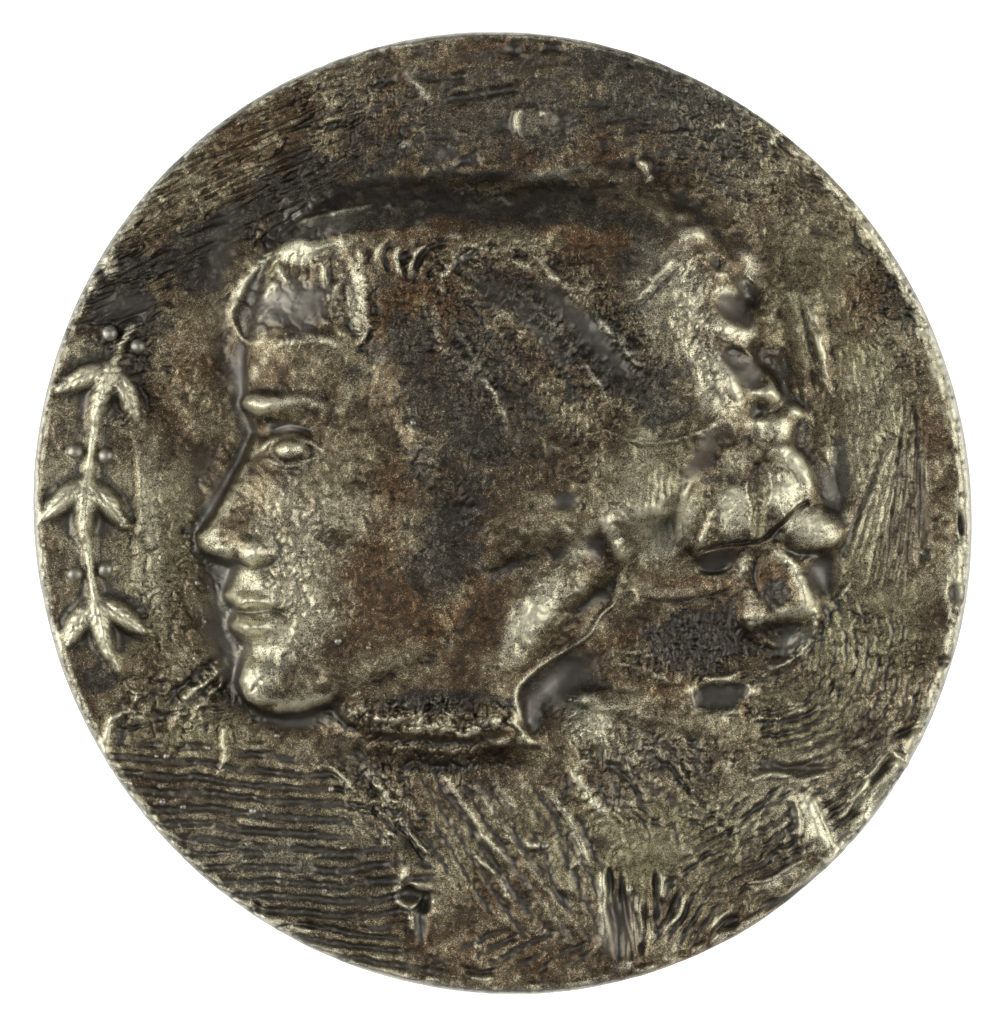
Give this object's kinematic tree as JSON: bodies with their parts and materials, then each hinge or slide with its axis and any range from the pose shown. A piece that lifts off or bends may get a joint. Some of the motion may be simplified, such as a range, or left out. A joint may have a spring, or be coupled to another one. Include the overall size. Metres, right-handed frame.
{
  "type": "commemorative medal",
  "caption": "Round cast bronze medal, a little out of round, with a head in profile in high relief, a gathered bun, a leaf sprig and a rough hand-worked ground; plain flat back.",
  "frame": {"origin": "middle of the back face, on the surface that the medal lies on", "axes": "+Z out of the face with the head, +Y to the top of the head, +X to the back of the head"},
  "size_m": [0.06, 0.0616, 0.0077],
  "materials": {
    "bronze": "worn brown patina over cast bronze, bright on the high points"
  },
  "bodies": {
    "root": {"medal": "bronze"}
  },
  "joints": []
}
